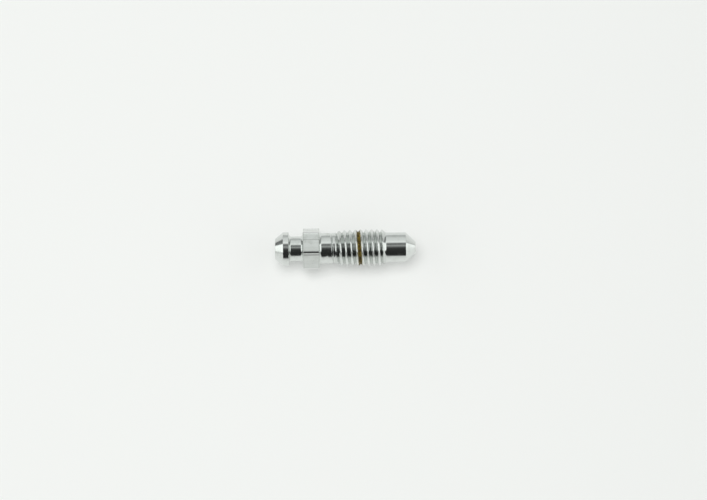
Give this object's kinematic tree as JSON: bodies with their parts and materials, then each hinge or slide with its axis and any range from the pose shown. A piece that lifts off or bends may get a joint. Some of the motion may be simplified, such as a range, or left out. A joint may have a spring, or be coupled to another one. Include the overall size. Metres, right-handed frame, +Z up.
{
  "type": "bleeder screw",
  "caption": "Hollow hydraulic bleeder screw with a hose barb, hexagon, fine thread carrying a bead of sealing compound, plain pilot with a cross-hole, and a conical seat.",
  "frame": {"origin": "on the surface under the middle of the screw, as it lies on one flat of its hexagon", "axes": "+X along the screw from the hose end towards the seat cone, +Z up through the top flat"},
  "size_m": [0.026, 0.0078, 0.0069],
  "materials": {
    "plated_steel": "bright",
    "sealing_compound": "granular"
  },
  "bodies": {
    "root": {"screw_body": "plated_steel", "thread_seal": "sealing_compound"}
  },
  "joints": []
}
